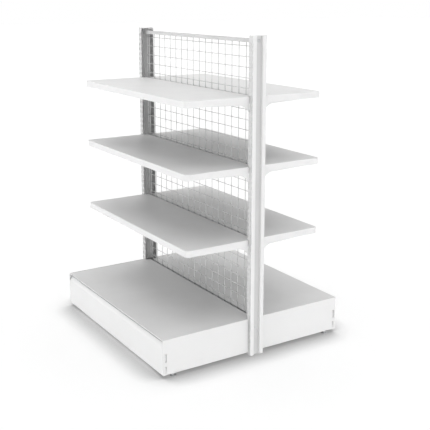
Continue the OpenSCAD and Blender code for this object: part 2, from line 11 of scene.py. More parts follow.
import bmesh
import bpy
from bpy.props import FloatProperty, FloatVectorProperty, IntProperty, PointerProperty
from bpy.types import Operator, Panel, PropertyGroup
from mathutils import Matrix, Vector


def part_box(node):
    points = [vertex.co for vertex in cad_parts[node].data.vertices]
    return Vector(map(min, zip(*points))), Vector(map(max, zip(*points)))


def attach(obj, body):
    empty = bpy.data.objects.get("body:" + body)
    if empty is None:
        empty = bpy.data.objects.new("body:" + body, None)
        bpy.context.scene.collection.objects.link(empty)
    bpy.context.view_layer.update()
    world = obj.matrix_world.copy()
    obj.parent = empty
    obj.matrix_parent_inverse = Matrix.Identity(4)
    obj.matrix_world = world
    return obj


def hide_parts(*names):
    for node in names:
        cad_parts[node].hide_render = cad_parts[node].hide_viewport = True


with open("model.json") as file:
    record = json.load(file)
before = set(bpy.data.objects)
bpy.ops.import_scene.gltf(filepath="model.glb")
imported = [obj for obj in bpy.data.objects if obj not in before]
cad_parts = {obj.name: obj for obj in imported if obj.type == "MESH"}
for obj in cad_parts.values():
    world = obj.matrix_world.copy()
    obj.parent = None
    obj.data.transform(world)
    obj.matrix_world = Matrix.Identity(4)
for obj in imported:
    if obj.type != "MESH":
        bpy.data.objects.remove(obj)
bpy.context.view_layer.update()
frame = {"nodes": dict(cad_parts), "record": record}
NODES = frame["nodes"]
# Base colour of each material slot as red, green and blue
SLOT_COLOURS = {item["slot"]: tuple(item["base_color"][:3]) for item in frame["record"]["materials"]}

bl_info = {
    "name": "Gondola shelving bay",
    "version": (1, 0, 0),
    "blender": (4, 5, 0),
    "location": "View3D > Sidebar > Shelving",
    "description": "Finishes and small hardware of a double-sided shop shelving bay",
    "category": "Object",
}

LEVELS = ("lower", "middle", "upper")
SIDES = ("front", "rear")

# Edges of turned pieces that bend more than this stay sharp
SHARP_ANGLE = math.radians(32.0)
# Depth of a thread as a share of its pitch, and rings within one pitch
THREAD_DEPTH = 0.54
THREAD_STEPS = 5
# Profile of a foot's pad from the floor up: shares of its radius and of its height
PAD_PROFILE = ((0.86, 0.0), (0.95, 0.05), (0.99, 0.16), (1.0, 0.28), (0.99, 0.44), (0.95, 0.52), (0.80, 0.66))
# Profile of a spot weld's dent from its rim inwards as shares of its radius and heights, and faces round it
WELD_PROFILE = ((1.25, 0.0), (1.05, -0.00022), (0.85, -0.00016), (0.55, -0.00005), (0.2, -0.00003))
WELD_STEPS = 24


def nodes_named(*starts):
    """Names of the frame's nodes that start with one of the given words."""
    found = sorted(name for name in NODES if name.startswith(starts))
    if not found:
        raise RuntimeError(f"the frame has no node that starts with {starts}")
    return found


def colour_property(title, meaning, default):
    return FloatVectorProperty(name=title, description=meaning, subtype="COLOR", size=3,
                               min=0.0, max=1.0, default=default)


def length_property(title, meaning, default):
    return FloatProperty(name=title, description=meaning, subtype="DISTANCE", unit="LENGTH",
                         min=0.0, default=default, precision=5)


def share_property(title, meaning, default):
    return FloatProperty(name=title, description=meaning, subtype="FACTOR", min=0.0, max=1.0,
                         default=default)


def light_property(title, meaning, default):
    return FloatProperty(name=title, description=meaning, min=0.0, default=default)


class ShelvingCoat(PropertyGroup):
    """Powder coat of the frame, the panels and the wire grid, how it is worn and soiled, and the shade
    painted into its recesses.
    """

    frame_colour: colour_property("Frame colour", "White coat of uprights and brackets",
                                  SLOT_COLOURS["frame_coat"])
    panel_colour: colour_property("Panel colour", "White coat of shelves, decks, kick plates and legs",
                                  SLOT_COLOURS["panel_coat"])
    grid_colour: colour_property("Grid colour", "Light grey coat of the wire grid and its rails",
                                 SLOT_COLOURS["grid_coat"])
    primer_colour: colour_property("Primer colour", "Grey that shows where the coat is worn at edges",
                                   (0.42, 0.42, 0.43))
    dust_colour: colour_property("Dust colour", "Fine dust on surfaces that face up", (0.60, 0.58, 0.55))
    # Painted shade: the colour, amounts and reaches from here to the grid's reach darken recesses and the
    # gaps between pieces
    shade_colour: colour_property("Shade colour", "Fine grey soil in recesses", (0.14, 0.14, 0.14))
    frame_shade: share_property("Bracket shade", "How much soil lies in the recesses of the brackets", 0.3)
    frame_reach: length_property("Bracket reach", "Width of the brackets' recesses that hold soil", 0.09)
    upright_shade: share_property("Upright shade", "How much soil lies in the recesses of the uprights", 0.12)
    upright_reach: length_property("Upright reach", "Width of the uprights' recesses that hold soil", 0.03)
    panel_shade: share_property("Panel shade", "How much soil lies in the recesses of the panels", 0.12)
    panel_reach: length_property("Panel reach", "Width of the panels' recesses that hold soil", 0.03)
    gap_shade: share_property("Gap shade", "How much soil lies in the narrow gaps beside the panels", 0.5)
    gap_reach: length_property("Gap reach", "Width of the narrow gaps that hold soil", 0.008)
    grid_shade: share_property("Grid shade", "How much soil lies where the grid meets other pieces", 0.45)
    grid_reach: length_property("Grid reach", "Width of the gaps round the grid that hold soil", 0.06)
    scuff_colour: colour_property("Scuff colour", "Grey that hooks rub off beside the slots",
                                  (0.45, 0.45, 0.45))
    scuff: share_property("Scuff", "How strongly the faces beside the slots are scuffed", 0.5)
    # Painted shade: this grey darkens the uprights' inner faces and their groove floor
    inside_shade_colour: colour_property("Inside shade colour", "Grey of the thin coat inside the uprights",
                                 (0.32, 0.32, 0.32))
    roughness: share_property("Roughness", "Roughness of the clean coat", 0.50)
    peel_size: length_property("Peel size", "Width of the cells of the coat's orange peel", 0.0016)
    peel_depth: length_property("Peel depth", "Depth of the orange peel", 0.00003)
    wear_width: length_property("Wear width", "Width of the worn band along edges", 0.0012)
    wear: share_property("Wear", "How much of the coat is worn off along edges", 0.22)
    dust: share_property("Dust", "How much dust lies on level surfaces", 0.10)
    grime: share_property("Grime", "How strongly mop marks show on the lowest part of the bay", 0.10)
    grime_height: length_property("Grime height", "Height up to which mop marks reach", 0.07)
    # The painted shade of the panels' wide recesses stops below this height
    unshaded_height: length_property("Clear height", "Height below which the panels' recesses are clean", 0.05)


class ShelvingMetal(PropertyGroup):
    """Bare metal and moulded plastic."""

    zinc_colour: colour_property("Zinc colour", "Bright zinc plate of feet, bolts and nuts",
                                 SLOT_COLOURS["zinc_plate"])
    sheet_colour: colour_property("Galvanised colour", "Galvanised sheet of the stiffeners",
                                  SLOT_COLOURS["galvanised_sheet"])
    spangle_size: length_property("Spangle size", "Width of the zinc crystals on galvanised sheet", 0.009)
    cap_colour: colour_property("Cap colour", "Moulded plastic of the upright caps",
                                SLOT_COLOURS["cap_plastic"])


class ShelvingHardware(PropertyGroup):
    """Sizes of the turned and threaded pieces that are modelled here."""

    bolt_width: length_property("Bolt thread", "Outer diameter of the rail bolts' thread", 0.008)
    bolt_pitch: length_property("Bolt pitch", "Thread pitch of the rail bolts", 0.00125)
    foot_width: length_property("Foot thread", "Outer diameter of the feet's thread", 0.010)
    foot_pitch: length_property("Foot pitch", "Thread pitch of the feet", 0.0015)
    foot_shank: length_property("Foot shank", "Length of a foot's thread above its collar", 0.045)
    pad_height: length_property("Pad height", "Thickness of a foot's pad", 0.006)
    collar_width: length_property("Collar width", "Width across the flats of a foot's collar", 0.013)
    foot_nut_width: length_property("Foot nut width", "Width across the flats of the foot nuts", 0.016)
    foot_nut_height: length_property("Foot nut height", "Height of the foot nuts", 0.008)
    weld_width: length_property("Weld width", "Diameter of a spot weld's dent", 0.006)
    weld_pitch: length_property("Weld pitch", "Distance between the spot welds of a stiffener", 0.085)
    turn_steps: IntProperty(name="Turn steps", description="Faces round a turned piece", min=24, max=96,
                            default=48)


class ShelvingStage(PropertyGroup):
    """Camera, graded sky and floor."""

    camera_place: FloatVectorProperty(name="Camera place", description="Position of the camera",
                                      subtype="TRANSLATION", unit="LENGTH", size=3,
                                      default=(3.27, -1.97, 1.58))
    camera_azimuth: FloatProperty(name="Camera azimuth", description="Turn of the camera from the +Y axis",
                                  subtype="ANGLE", default=math.radians(57.6))
    camera_drop: FloatProperty(name="Camera drop", description="Tilt of the camera below the horizon",
                               subtype="ANGLE", default=math.radians(12.3))
    camera_lens: FloatProperty(name="Lens", description="Focal length for a 36 mm wide image, in mm",
                               min=10.0, default=67.8)
    camera_shift: FloatProperty(name="Shift", description="Upright shift of the image, in image widths",
                                default=-0.10)
    floor_colour: colour_property("Floor colour", "Pale floor", (0.75, 0.75, 0.75))
    floor_shown: colour_property("Floor shown", "Floor colour for the camera alone", (0.60, 0.60, 0.60))
    shadow_reach: length_property("Shadow reach", "Width of the soft shade on the floor beside the bay", 0.16)
    floor_lift: share_property("Floor lift", "Light added to the open floor for the camera alone", 0.45)
    gap_lift: share_property("Gap lift", "Light added to the shaded floor for the camera alone", 0.38)
    sky_all_round: light_property("Sky all round", "Even light from the whole sky", 0.05)
    sky_overhead: light_property("Sky overhead", "Light that is added towards the zenith", 1.6)
    sky_rim: light_property("Sky rim", "Light that is added just above the horizon", 14.0)
    overhead_from: share_property("Overhead from", "Height in the sky where the overhead light starts", 0.35)
    rim_to: share_property("Rim to", "Height in the sky where the rim ends", 0.12)


def settings():
    """The four property groups of the scene."""
    scene = bpy.context.scene
    return scene.shelving_coat, scene.shelving_metal, scene.shelving_hardware, scene.shelving_stage


# Shader node groups


def new_group(name, inputs, outputs):
    """Shader node group with value sockets: inputs as names with their defaults, outputs as names.
    Returns the group, the sockets of what it is given and those of what it puts out."""
    group = bpy.data.node_groups.new(name, "ShaderNodeTree")
    for socket_name, default in inputs.items():
        socket = group.interface.new_socket(name=socket_name, in_out="INPUT", socket_type="NodeSocketFloat")
        socket.default_value = default
    for socket_name in outputs:
        group.interface.new_socket(name=socket_name, in_out="OUTPUT", socket_type="NodeSocketFloat")
    return group, group.nodes.new("NodeGroupInput").outputs, group.nodes.new("NodeGroupOutput").inputs


def add_node(tree, kind, inputs=None, **values):
    """New node with its properties set. An input is a constant, or the output socket of another node."""
    node = tree.nodes.new(kind)
    for key, value in values.items():
        setattr(node, key, value)
    for key, value in (inputs or {}).items():
        if isinstance(value, bpy.types.NodeSocket):
            tree.links.new(value, node.inputs[key])
        else:
            node.inputs[key].default_value = value
    return node


def math_node(tree, operation, first, second=0.0, clamp=False):
    """Output of a math node."""
    return add_node(tree, "ShaderNodeMath", {0: first, 1: second}, operation=operation,
                    use_clamp=clamp).outputs[0]


def product(tree, first, second, clamp=False):
    """Output of a multiplication."""
    return math_node(tree, "MULTIPLY", first, second, clamp)


def scaled_node(tree, value, factor, offset):
    """Output of a value times a factor plus an offset."""
    return add_node(tree, "ShaderNodeMath", {0: value, 1: factor, 2: offset},
                    operation="MULTIPLY_ADD").outputs[0]


def ramp_node(tree, value, low, high, to_low=0.0, to_high=1.0):
    """A value mapped from one range to another along a smooth step."""
    return add_node(tree, "ShaderNodeMapRange",
                    {"Value": value, "From Min": low, "From Max": high, "To Min": to_low, "To Max": to_high},
                    interpolation_type="SMOOTHSTEP").outputs["Result"]


def object_place(tree):
    """Point on the surface in the object's own frame."""
    return tree.nodes.new("ShaderNodeTexCoord").outputs["Object"]


def surface_normal(tree):
    """Smooth normal of the surface."""
    return tree.nodes.new("ShaderNodeNewGeometry").outputs["Normal"]


def parts_of(tree, vector):
    """X, Y and Z outputs of a vector."""
    return add_node(tree, "ShaderNodeSeparateXYZ", {0: vector}).outputs


def noise_node(tree, scale, detail=3.0, roughness=0.5, place=None):
    """Noise round 0.5 in the object's own frame or at a given place, whose scale is in cells per metre."""
    return add_node(tree, "ShaderNodeTexNoise",
                    {"Vector": place or object_place(tree), "Scale": scale, "Detail": detail,
                     "Roughness": roughness}, noise_dimensions="3D").outputs["Fac"]


def coat_surface_group():
    """Height of a powder coat: orange peel over a slow wave."""
    group, given, made = new_group("Coat surface", {"Cell size": 0.0016}, ["Height"])
    cells = math_node(group, "DIVIDE", 1.0, given["Cell size"])
    peel = noise_node(group, cells, detail=1.5, roughness=0.45)
    wave = noise_node(group, product(group, cells, 0.12), detail=1.0)
    height = math_node(group, "ADD", product(group, peel, 0.75), product(group, wave, 0.55))
    group.links.new(height, made["Height"])


def edge_wear_group():
    """Mask of worn edges: a band along convex edges, broken up by noise."""
    group, given, made = new_group("Edge wear", {"Width": 0.0012, "Amount": 0.2}, ["Mask"])
    rounded = add_node(group, "ShaderNodeBevel", {"Radius": given["Width"]}, samples=6).outputs["Normal"]
    agreement = add_node(group, "ShaderNodeVectorMath", {0: rounded, 1: surface_normal(group)},
                         operation="DOT_PRODUCT").outputs["Value"]
    edge = ramp_node(group, agreement, 0.995, 0.86)
    patches = ramp_node(group, noise_node(group, 55.0, detail=4.0, roughness=0.65), 0.46, 0.64)
    broken = product(group, edge, scaled_node(group, patches, 0.8, 0.5))
    mask = product(group, broken, given["Amount"], clamp=True)
    group.links.new(mask, made["Mask"])


def handling_group():
    """Slow variation of a handled surface: Tone darkens the colour, Smear changes the roughness."""
    group, given, made = new_group("Handling", {"Size": 0.2}, ["Tone", "Smear"])
    cells = math_node(group, "DIVIDE", 1.0, given["Size"])
    tone = noise_node(group, cells, roughness=0.55)
    fine = noise_node(group, product(group, cells, 6.0), detail=4.0, roughness=0.7)
    smear = product(group, ramp_node(group, tone, 0.35, 0.7), fine)
    group.links.new(ramp_node(group, tone, 0.3, 0.75), made["Tone"])
    group.links.new(smear, made["Smear"])


def hook_scuff_group():
    """Mask of the marks that hooks leave on an upright's slotted faces, in short streaks down the slots."""
    group, given, made = new_group("Hook scuffs", {"Face distance": 0.030, "Amount": 0.5}, ["Mask"])
    across = math_node(group, "ABSOLUTE", parts_of(group, surface_normal(group))["Y"])
    place = math_node(group, "ABSOLUTE", parts_of(group, object_place(group))["Y"])
    outermost = math_node(group, "GREATER_THAN", place, given["Face distance"])
    slotted = product(group, ramp_node(group, across, 0.8, 0.97), outermost)
    stretched = add_node(group, "ShaderNodeVectorMath", {0: object_place(group), 1: (900.0, 900.0, 70.0)},
                         operation="MULTIPLY").outputs["Vector"]
    streaks = noise_node(group, 1.0, roughness=0.6, place=stretched)
    marks = product(group, slotted, ramp_node(group, streaks, 0.2, 0.8, 0.55, 1.0))
    mask = product(group, marks, given["Amount"], clamp=True)
    group.links.new(mask, made["Mask"])


def settled_dust_group():
    """Mask of dust: on surfaces that face up, thicker in soft patches."""
    group, given, made = new_group("Settled dust", {"Amount": 0.1}, ["Mask"])
    level = ramp_node(group, parts_of(group, surface_normal(group))["Z"], 0.75, 0.98)
    patches = ramp_node(group, noise_node(group, 9.0, detail=5.0, roughness=0.6), 0.3, 0.75, 0.35, 1.0)
    lying = product(group, level, patches)
    mask = product(group, lying, given["Amount"], clamp=True)
    group.links.new(mask, made["Mask"])


def inner_face_shade_group():
    """Mask of painted shade on the inner faces of the two uprights. Each stands at its own place
    along X, so a face that looks towards the middle of the bay, or from an outer wall inwards, is inside.
    The floor of the groove in the outer face gets the smaller value Groove floor."""
    group, given, made = new_group(
        "Inner face shade", {"Lip half width": 0.02, "Floor half width": 0.0152, "Groove floor": 0.3}, ["Mask"])
    place = parts_of(group, object_place(group))
    normal = parts_of(group, surface_normal(group))
    outward = {axis: product(group, normal[axis], math_node(group, "SIGN", place[axis])) for axis in "XY"}
    width = math_node(group, "ABSOLUTE", place["Y"])
    beside_groove = math_node(group, "GREATER_THAN", width, given["Lip half width"])
    from_wall = product(group, ramp_node(group, outward["Y"], -0.3, -0.7), beside_groove)
    in_groove = math_node(group, "LESS_THAN", width, given["Floor half width"])
    floor = product(group, ramp_node(group, outward["X"], 0.6, 0.9), in_groove)
    floor = product(group, floor, given["Groove floor"])
    inside = math_node(group, "MAXIMUM", ramp_node(group, outward["X"], -0.3, -0.7), from_wall)
    group.links.new(math_node(group, "MAXIMUM", inside, floor), made["Mask"])


def recess_shade_group(name, own_walls_only):
    """Mask of painted shade, broken into patches, in a piece's own recesses or also where pieces meet.
    No shade is painted below the given height."""
    group, given, made = new_group(name, {"Reach": 0.03, "Amount": 0.5, "Clear height": 0.0}, ["Mask"])
    openness = add_node(group, "ShaderNodeAmbientOcclusion", {"Distance": given["Reach"]},
                        samples=8, only_local=own_walls_only).outputs["AO"]
    # Painted shade where ambient occlusion finds walls close by
    closed = ramp_node(group, openness, 0.96, 0.60)
    patches = ramp_node(group, noise_node(group, 14.0, detail=4.0, roughness=0.6), 0.25, 0.75, 0.85, 1.0)
    above = math_node(group, "SUBTRACT", parts_of(group, object_place(group))["Z"], given["Clear height"])
    closed = product(group, closed, ramp_node(group, above, 0.0, 0.03))
    mask = product(group, product(group, closed, patches), given["Amount"], clamp=True)
    group.links.new(mask, made["Mask"])


def floor_grime_group():
    """Mask of scuffs and mop marks on the lowest part of the base."""
    group, given, made = new_group("Floor grime", {"Height": 0.06}, ["Mask"])
    share = math_node(group, "DIVIDE", parts_of(group, object_place(group))["Z"], given["Height"])
    low = ramp_node(group, share, 1.0, 0.2)
    streaks = ramp_node(group, noise_node(group, 30.0, detail=5.0, roughness=0.7), 0.42, 0.72)
    mask = product(group, low, streaks, clamp=True)
    group.links.new(mask, made["Mask"])


def zinc_crystal_group():
    """Crystals of galvanised sheet: Tone is one value for each crystal, Edge is dark between crystals."""
    group, given, made = new_group("Zinc crystals", {"Size": 0.009}, ["Tone", "Edge"])
    cells = math_node(group, "DIVIDE", 1.0, given["Size"])
    place = object_place(group)
    crystals = add_node(group, "ShaderNodeTexVoronoi", {"Vector": place, "Scale": cells},
                        voronoi_dimensions="3D", feature="F1")
    tone = add_node(group, "ShaderNodeSeparateColor", {0: crystals.outputs["Color"]}).outputs[0]
    border = add_node(group, "ShaderNodeTexVoronoi", {"Vector": place, "Scale": cells},
                      voronoi_dimensions="3D", feature="DISTANCE_TO_EDGE").outputs["Distance"]
    group.links.new(tone, made["Tone"])
    group.links.new(ramp_node(group, border, 0.0, 0.05), made["Edge"])


GROUP_MAKERS = {
    "Coat surface": coat_surface_group,
    "Edge wear": edge_wear_group,
    "Handling": handling_group,
    "Settled dust": settled_dust_group,
    "Inner face shade": inner_face_shade_group,
    "Hook scuffs": hook_scuff_group,
    "Recess shade": lambda: recess_shade_group("Recess shade", True),
    "Joint shade": lambda: recess_shade_group("Joint shade", False),
    "Floor grime": floor_grime_group,
    "Zinc crystals": zinc_crystal_group,
}


def group_node(tree, name, **inputs):
    """Outputs of a shared effect that is placed in a material with its own values. Underscores in a keyword
    stand for spaces."""
    if name not in bpy.data.node_groups:
        GROUP_MAKERS[name]()
    node = tree.nodes.new("ShaderNodeGroup")
    node.node_tree = bpy.data.node_groups[name]
    for key, value in inputs.items():
        node.inputs[key.replace("_", " ")].default_value = value
    return node.outputs


# Materials


def seen_directly(tree):
    """1 for a ray of the camera, also by way of gloss or glass, and 0 for one that only lights a surface."""
    path = tree.nodes.new("ShaderNodeLightPath")
    seen = math_node(tree, "MAXIMUM", path.outputs["Is Camera Ray"], path.outputs["Is Glossy Ray"])
    return math_node(tree, "MAXIMUM", seen, path.outputs["Is Transmission Ray"])


def new_material(name, **constants):
    """Node tree and Principled shader of a new material. Constant values sit on the shader's own sockets."""
    material = bpy.data.materials.new(name)
    material.use_nodes = True
    tree = material.node_tree
    shader = tree.nodes["Principled BSDF"]
    for key, value in constants.items():
        shader.inputs[key.replace("_", " ")].default_value = value
    return tree, shader


def mix_colours(tree, share, first, second):
    """Output of a colour mix. A colour is red, green and blue, or a socket."""
    inputs = {0: share}
    for key, colour in ((6, first), (7, second)):
        inputs[key] = colour if isinstance(colour, bpy.types.NodeSocket) else (*colour, 1.0)
    return add_node(tree, "ShaderNodeMix", inputs, data_type="RGBA").outputs[2]


def connect(tree, shader, colour, roughness, normal=None):
    """Links the outputs of a material's effects to its Principled shader."""
    tree.links.new(colour, shader.inputs["Base Color"])
    tree.links.new(roughness, shader.inputs["Roughness"])
    if normal:
        tree.links.new(normal, shader.inputs["Normal"])


def shaded(colour, factor):
    """A colour made lighter or darker by a factor."""
    return tuple(channel * factor for channel in colour)


def bump(tree, height, depth):
    """Normal that a height of 0 to 1 gives at a depth."""
    return add_node(tree, "ShaderNodeBump", {"Height": height, "Distance": depth}).outputs["Normal"]


def powder_coat(name, colour, handling_size, shade_layers, grime_height=0.0, slotted_section=False):
    """Powder coat with orange peel, handling marks, dust, worn edges and painted shade. Each painted shade is
    a node group's name and its Reach, Amount and the height below which none is painted. A slotted section is
    scuffed and gets painted shade inside."""
    coat = settings()[0]
    tree, shader = new_material(name, Metallic=0.0, IOR=1.45, Specular_IOR_Level=0.4)
    handling = group_node(tree, "Handling", Size=handling_size)
    dust = group_node(tree, "Settled dust", Amount=coat.dust)
    wear = group_node(tree, "Edge wear", Width=coat.wear_width, Amount=coat.wear)
    surface = group_node(tree, "Coat surface", Cell_size=coat.peel_size)
    paint = mix_colours(tree, handling["Tone"], colour, shaded(colour, 0.975))
    if slotted_section:
        scuffs = group_node(tree, "Hook scuffs", Amount=coat.scuff)
        paint = mix_colours(tree, scuffs["Mask"], paint, coat.scuff_colour)
        # Painted shade on the uprights' inner faces and their groove floor
        inside = group_node(tree, "Inner face shade")
        paint = mix_colours(tree, inside["Mask"], paint, coat.inside_shade_colour)
    if grime_height > 0.0:
        grime = group_node(tree, "Floor grime", Height=grime_height)
        paint = mix_colours(tree, product(tree, grime["Mask"], coat.grime), paint, coat.dust_colour)
    # Painted shade in recesses and between pieces
    for group_name, reach, amount, unshaded_height in shade_layers:
        shade_mask = group_node(tree, group_name, Reach=reach, Amount=amount, Clear_height=unshaded_height)
        paint = mix_colours(tree, shade_mask["Mask"], paint, coat.shade_colour)
    paint = mix_colours(tree, dust["Mask"], paint, coat.dust_colour)
    paint = mix_colours(tree, wear["Mask"], paint, coat.primer_colour)
    rough = scaled_node(tree, handling["Smear"], 0.16, coat.roughness)
    rough = math_node(tree, "ADD", rough, product(tree, dust["Mask"], 0.8), clamp=True)
    connect(tree, shader, paint, rough, bump(tree, surface["Height"], coat.peel_depth))


def galvanised_sheet():
    """Hot-dip galvanised sheet with its crystals."""
    metal = settings()[1]
    colour = metal.sheet_colour
    tree, shader = new_material("Galvanised sheet", Metallic=0.9)
    crystals = group_node(tree, "Zinc crystals", Size=metal.spangle_size)
    handling = group_node(tree, "Handling", Size=0.15)
    tone = mix_colours(tree, crystals["Tone"], shaded(colour, 0.86), shaded(colour, 1.10))
    tone = mix_colours(tree, crystals["Edge"], shaded(colour, 0.93), tone)
    rough = ramp_node(tree, crystals["Tone"], 0.0, 1.0, 0.36, 0.52)
    rough = math_node(tree, "ADD", rough, product(tree, handling["Smear"], 0.2))
    connect(tree, shader, tone, rough, bump(tree, crystals["Edge"], 0.00001))


def grained_surface(name, colour, darkest, handling_size, grain, rough_limits, smear, depth, **constants):
    """Evenly coloured surface with a fine grain, darker and duller where it was handled. The grain is its
    cells per metre, its detail and the two heights at which the roughness has its limits."""
    tree, shader = new_material(name, **constants)
    cells, detail, low, high = grain
    handling = group_node(tree, "Handling", Size=handling_size)
    height = noise_node(tree, cells, detail=detail)
    tone = mix_colours(tree, handling["Tone"], colour, shaded(colour, darkest))
    rough = math_node(tree, "ADD", ramp_node(tree, height, low, high, *rough_limits),
                      product(tree, handling["Smear"], smear))
    connect(tree, shader, tone, rough, bump(tree, height, depth))


def zinc_plate():
    """Bright zinc plate of turned hardware."""
    grained_surface("Zinc plate", settings()[1].zinc_colour, darkest=0.86, handling_size=0.02,
                    grain=(900.0, 2.0, 0.3, 0.7), rough_limits=(0.24, 0.34), smear=0.25, depth=0.00001,
                    Metallic=1.0)


def moulded_plastic():
    """White moulded plastic."""
    grained_surface("Moulded plastic", settings()[1].cap_colour, darkest=0.95, handling_size=0.03,
                    grain=(1800.0, 1.0, 0.2, 0.8), rough_limits=(0.46, 0.56), smear=0.1, depth=0.00002,
                    Metallic=0.0, IOR=1.46)


def weld_steel():
    """Dent of a spot weld: the zinc is burnt to a straw and grey tone in the middle."""
    red, green, blue = settings()[1].sheet_colour
    tree, shader = new_material("Spot weld", Metallic=0.9)
    handling = group_node(tree, "Handling", Size=0.008)
    tone = mix_colours(tree, handling["Tone"], (red * 0.72, green * 0.66, blue * 0.58),
                       shaded((red, green, blue), 0.8))
    connect(tree, shader, tone, ramp_node(tree, handling["Smear"], 0.0, 0.6, 0.38, 0.6))


def upright_coat():
    """White coat of the uprights, scuffed beside the slots, with painted shade inside and in their recesses.
    """
    coat = settings()[0]
    shade_layers = [("Recess shade", coat.upright_reach, coat.upright_shade, 0.0)]
    powder_coat("Upright coat", coat.frame_colour, 0.18, shade_layers, coat.grime_height, slotted_section=True)


def frame_coat():
    """White coat of the brackets, with painted shade in their recesses."""
    coat = settings()[0]
    shade_layers = [("Recess shade", coat.frame_reach, coat.frame_shade, 0.0)]
    powder_coat("Frame coat", coat.frame_colour, 0.18, shade_layers)


def panel_coat():
    """White coat of the panels, with painted shade in their recesses, which stops near the floor, and in the
    narrow gaps.
    """
    coat = settings()[0]
    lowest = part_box("base_leg_front_left")[0].z
    shade_layers = [("Joint shade", coat.panel_reach, coat.panel_shade, coat.unshaded_height),
             ("Joint shade", coat.gap_reach, coat.gap_shade, lowest)]
    powder_coat("Panel coat", coat.panel_colour, 0.30, shade_layers, coat.grime_height)


def grid_coat():
    """Light grey coat of the wire grid and its rails, with painted shade where the grid meets other pieces.
    """
    coat = settings()[0]
    shade_layers = [("Joint shade", coat.grid_reach, coat.grid_shade, 0.0)]
    powder_coat("Grid coat", coat.grid_colour, 0.10, shade_layers)


MATERIAL_MAKERS = {
    "Upright coat": upright_coat,
    "Frame coat": frame_coat,
    "Panel coat": panel_coat,
    "Grid coat": grid_coat,
    "Galvanised sheet": galvanised_sheet,
    "Zinc plate": zinc_plate,
    "Moulded plastic": moulded_plastic,
    "Spot weld": weld_steel,
}


def material_named(name):
    """One of the bay's materials, made when it is first asked for."""
    if name not in bpy.data.materials:
        MATERIAL_MAKERS[name]()
    return bpy.data.materials[name]


def finish_nodes(material_name, *starts):
    """Gives a finish to the frame nodes that start with given words, and leaves their meshes as they are."""
    material = material_named(material_name)
    for name in nodes_named(*starts):
        slots = NODES[name].material_slots
        if not slots:
            NODES[name].data.materials.append(material)
        for slot in slots:
            slot.material = material


# Mesh helpers for turned pieces


def hexagon_radius(across_flats, angle):
    """Distance from the middle to a hexagon's outline at an angle."""
    sector = math.pi / 3
    return across_flats / 2 / math.cos((angle % sector) - sector / 2)


def ring(radius, height):
    """Ring of a turned piece: a radius and a height that may both depend on the angle."""
    def place(angle):
        return (radius(angle) if callable(radius) else radius,
                height(angle) if callable(height) else height)
    return place


def add_turned(mesh, rings, steps, matrix, closed=False):
    """Adds a piece that is turned round Z. Its rings run up the outside, or round a bore when closed is set.
    An open piece is capped across its first and last rings."""
    rows = []
    for place in rings:
        row = []
        for step in range(steps):
            angle = 2 * math.pi * step / steps
            radius, height = place(angle)
            point = Vector((radius * math.cos(angle), radius * math.sin(angle), height))
            row.append(mesh.verts.new(matrix @ point))
        rows.append(row)
    pairs = list(zip(rows, rows[1:]))
    if closed:
        pairs.append((rows[-1], rows[0]))
    for low, high in pairs:
        for step in range(steps):
            after = (step + 1) % steps
            mesh.faces.new((low[step], low[after], high[after], high[step]))
    if not closed:
        mesh.faces.new(list(reversed(rows[0])))
        mesh.faces.new(rows[-1])


def thread_radius(outer, pitch, height, inward=False):
    """Radius of a thread at one height as a function of the angle. An inward thread grows from its bore."""
    depth = pitch * THREAD_DEPTH

    def radius(angle):
        phase = (height / pitch - angle / (2 * math.pi)) % 1.0
        share = abs(2 * phase - 1)
        return outer + depth * share if inward else outer - depth * share
    return radius


def thread_rings(outer, pitch, low, high):
    """Rings of a threaded shank from low to high, with a short lead-in at the high end."""
    count = max(2, round((high - low) / pitch * THREAD_STEPS))
    rings = []
    for index in range(count + 1):
        height = low + (high - low) * index / count
        left = (high - height) / pitch
        lead = min(1.0, 0.86 + 0.14 * left)
        thread = thread_radius(outer, pitch, height)
        rings.append(ring(lambda angle, thread=thread, lead=lead: min(thread(angle), outer * lead), height))
    return rings


def nut_rings(across_flats, height, bore, pitch):
    """Closed ring list of a chamfered hexagon nut with a threaded bore. It stands from 0 to height."""
    chamfer_start = across_flats / 2 * 0.95
    slope = math.tan(math.radians(30))

    def outer(angle):
        return hexagon_radius(across_flats, angle)

    def top(angle):
        return height - max(0.0, outer(angle) - chamfer_start) * slope

    def bottom(angle):
        return max(0.0, outer(angle) - chamfer_start) * slope
    mouth = bore + pitch * 0.5
    rings = [ring(mouth, 0.0), ring(chamfer_start, 0.0), ring(outer, bottom), ring(outer, top),
             ring(chamfer_start, height), ring(mouth, height)]
    count = max(4, round(height / pitch * THREAD_STEPS))
    for index in range(1, count):
        level = height * (1 - index / count)
        rings.append(ring(thread_radius(bore, pitch, level, inward=True), level))
    return rings


def dome_height(radius, rim_radius, crown):
    """Height of a domed head above its seat at a distance from the middle."""
    sphere = (rim_radius ** 2 + crown ** 2) / (2 * crown)
    return crown - sphere + math.sqrt(sphere ** 2 - radius ** 2)


def socket_head_rings(rim_radius, crown, socket_flats, socket_depth, neck):
    """Rings of a domed head with a hexagon socket, from the neck under the head to the socket's floor."""
    def socket(angle):
        return hexagon_radius(socket_flats, angle)

    def socket_edge(angle):
        return dome_height(socket(angle) * 1.08, rim_radius, crown)
    edge = crown * 0.12
    rings = [ring(neck, 0.0), ring(rim_radius - edge / 2, 0.0), ring(rim_radius, edge)]
    steps = 6
    for step in range(1, steps + 1):
        share = step / steps
        radius = rim_radius * 0.985 * (1 - share) + socket_flats * 0.66 * share
        rings.append(ring(radius, max(edge, dome_height(radius, rim_radius, crown))))
    floor = crown - socket_depth
    rings += [ring(lambda angle: socket(angle) * 1.08, socket_edge),
              ring(socket, lambda angle: socket_edge(angle) - crown * 0.08),
              ring(socket, floor), ring(socket_flats * 0.1, floor - crown * 0.12)]
    return rings


